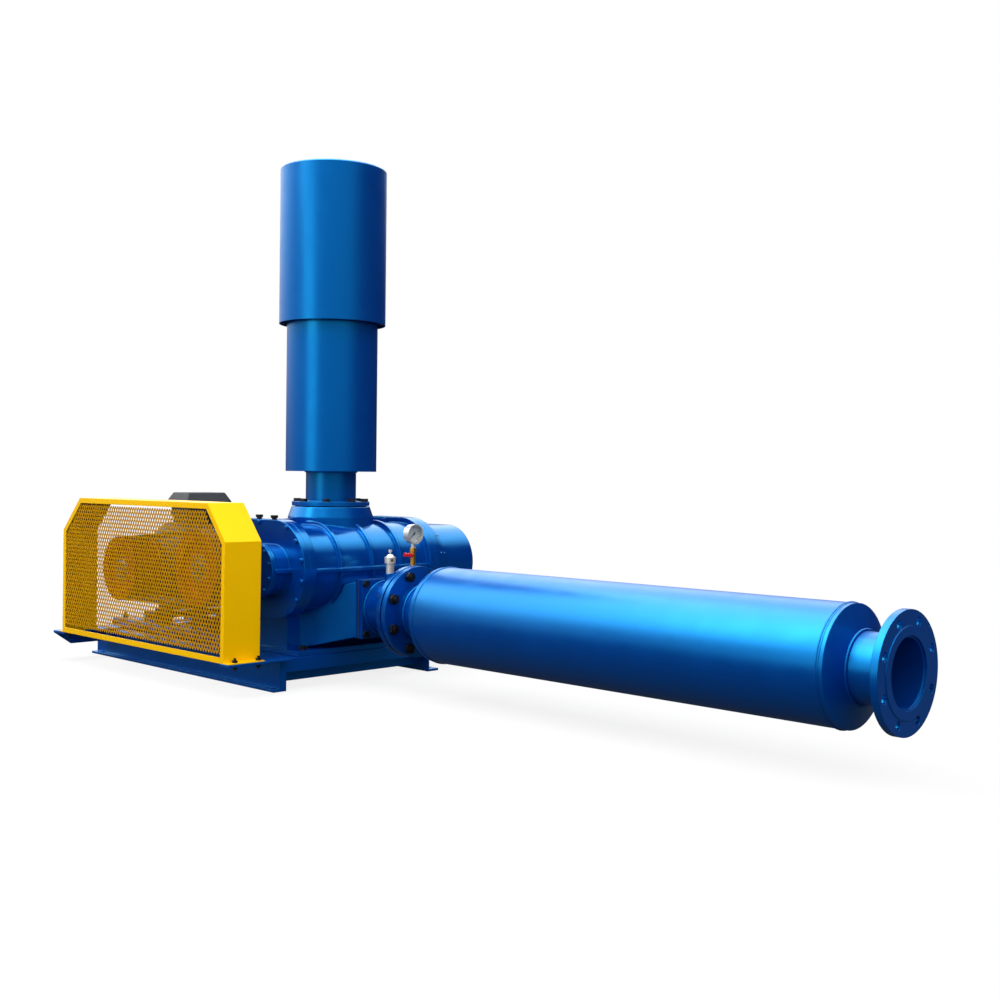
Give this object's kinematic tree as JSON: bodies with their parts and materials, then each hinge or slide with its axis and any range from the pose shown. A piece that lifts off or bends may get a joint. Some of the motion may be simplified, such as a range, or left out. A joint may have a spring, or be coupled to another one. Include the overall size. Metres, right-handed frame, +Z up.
{
  "type": "roots blower",
  "caption": "Belt-driven three-lobe blower on a steel skid with guard, motor, inlet silencer and long discharge silencer.",
  "frame": {"origin": "centre of the foundation bolts on the floor, under the middle of the skid", "axes": "+X along the rotor shafts towards the timing gears, +Y from the discharge pipe towards the motor, +Z up"},
  "size_m": [1.005, 3.082, 1.7],
  "materials": {
    "blue_sheet": "glossy blue enamel on sheet steel",
    "blue_casting": "glossy blue enamel on cast iron",
    "yellow_sheet": "glossy yellow enamel on sheet steel",
    "black_steel": "black oxide fasteners",
    "bright_steel": "turned and ground steel",
    "rotor_iron": "machined grey iron",
    "pulley_iron": "grey iron with an orange brown rust guard",
    "belt_rubber": "dusty black rubber",
    "seal_rubber": "flat sheet gasket and lip seal rubber",
    "perforated_zinc": "galvanised perforated sheet",
    "filter_media": "pleated paper media",
    "plated_steel": "nickel plate",
    "brass": "turned brass",
    "red_enamel": "red enamel",
    "dial_white": "matt white dial sheet",
    "dial_black": "matt black pointer",
    "gauge_glass": "flat clear glass",
    "motor_grey": "dark grey enamel on cast iron",
    "black_plastic": "moulded black plastic"
  },
  "bodies": {
    "skid": {"base_frame": "blue_sheet", "slide_rails": "blue_casting", "tension_screws": "black_steel", "rail_bolts": "black_steel", "guard_shell": "yellow_sheet", "guard_mesh": "yellow_sheet", "guard_bolts": "black_steel", "outlet_box": "blue_casting", "box_bolts": "black_steel", "casing": "blue_casting", "drive_end_plate": "blue_casting", "drive_end_cover": "blue_casting", "gear_end_plate": "blue_casting", "gear_cover": "blue_casting", "plate_bolts": "blue_casting", "oil_plugs": "black_steel", "sight_glass": "plated_steel", "rotor_bearings": "bright_steel", "shaft_seals": "seal_rubber", "inlet_gasket": "seal_rubber", "inlet_bolts": "black_steel", "inlet_shell": "blue_sheet", "inlet_core": "perforated_zinc", "inlet_filter": "filter_media", "inlet_hood": "blue_sheet", "outlet_stub": "blue_casting", "square_gasket": "seal_rubber", "square_bolts": "black_steel", "discharge_gasket": "seal_rubber", "discharge_bolts": "black_steel", "discharge_silencer": "blue_sheet", "discharge_necks": "blue_sheet", "discharge_core": "perforated_zinc", "relief_body": "plated_steel", "gauge_nipple": "plated_steel", "cock_body": "brass", "gauge_case": "plated_steel", "gauge_dial": "dial_white", "gauge_lens": "gauge_glass", "v_belts": "belt_rubber", "motor_frame": "motor_grey", "motor_end_shields": "motor_grey", "motor_fan_cover": "motor_grey", "motor_bolts": "black_steel", "terminal_box": "motor_grey", "terminal_lid": "motor_grey", "cable_gland": "black_plastic"},
    "drive_train": {"drive_rotor": "rotor_iron", "drive_gear": "bright_steel", "blower_pulley": "pulley_iron", "blower_bush": "bright_steel"},
    "driven_train": {"driven_rotor": "rotor_iron", "driven_gear": "bright_steel"},
    "motor_train": {"motor_rotor": "bright_steel", "motor_fan": "black_plastic", "motor_pulley": "pulley_iron", "motor_bush": "bright_steel"},
    "pointer": {"gauge_pointer": "dial_black"},
    "handle": {"cock_handle": "red_enamel"},
    "pin": {"relief_pin": "plated_steel"}
  },
  "joints": [
    {"name": "drive_spin", "type": "hinge", "parent": "skid", "child": "drive_train", "pos_m": [0, -0.315, 0.375], "axis": [1, 0, 0], "continuous": true},
    {"name": "driven_spin", "type": "hinge", "parent": "skid", "child": "driven_train", "pos_m": [0, -0.485, 0.375], "axis": [1, 0, 0], "continuous": true},
    {"name": "motor_spin", "type": "hinge", "parent": "skid", "child": "motor_train", "pos_m": [0, 0.175, 0.347], "axis": [1, 0, 0], "continuous": true},
    {"name": "pointer_turn", "type": "hinge", "parent": "skid", "child": "pointer", "pos_m": [0.028, -0.79, 0.491], "axis": [0, 1, 0], "range_deg": [0, 270]},
    {"name": "handle_turn", "type": "hinge", "parent": "skid", "child": "handle", "pos_m": [0.028, -0.79, 0.425], "axis": [1, 0, 0], "range_deg": [0, 90]},
    {"name": "pin_lift", "type": "slide", "parent": "skid", "child": "pin", "axis": [0, 0, 1], "range_m": [0, 0.004], "stiffness_N_per_m": 8000, "springref_m": -0.001}
  ],
  "couplings": [
    {"joint": "driven_spin", "follows": "drive_spin", "ratio": -1},
    {"joint": "motor_spin", "follows": "drive_spin", "ratio": 1.1132}
  ]
}
